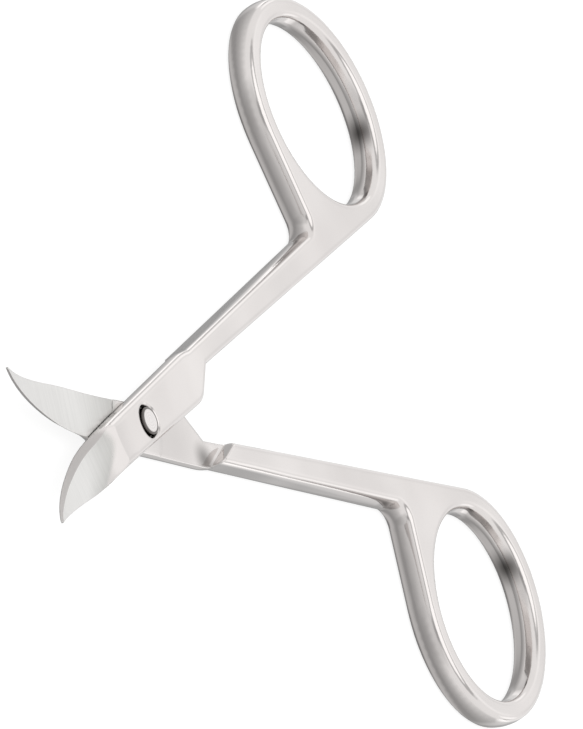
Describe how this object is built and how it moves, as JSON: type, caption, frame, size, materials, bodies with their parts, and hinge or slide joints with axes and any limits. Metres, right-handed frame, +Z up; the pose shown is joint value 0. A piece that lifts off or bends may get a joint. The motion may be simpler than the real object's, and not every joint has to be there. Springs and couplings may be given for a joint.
{
  "type": "cuticle scissors",
  "caption": "Small steel hand scissors with oval finger bows, slim shanks and short pointed blades that curl up, turning on a rivet, for trimming cuticles.",
  "frame": {"origin": "on the pivot axis, at the flat underside the scissors lie on", "axes": "+X from the pivot along the middle line between the handles towards the finger bows, +Y towards the front limb's bow, +Z up, the way the blades curl"},
  "size_m": [0.0924, 0.0678, 0.0075],
  "materials": {
    "limb_steel": "polished stainless steel with satin ground blades",
    "rivet_steel": "polished stainless steel"
  },
  "bodies": {
    "rear": {"rear_limb": "limb_steel", "pivot_rivet": "rivet_steel"},
    "front": {"front_limb": "limb_steel"}
  },
  "joints": [
    {"name": "blade_pivot", "type": "hinge", "parent": "rear", "child": "front", "pos_m": [0, 0, 0], "axis": [0, 0, 1], "range_deg": [-25.4, 34.6]}
  ]
}
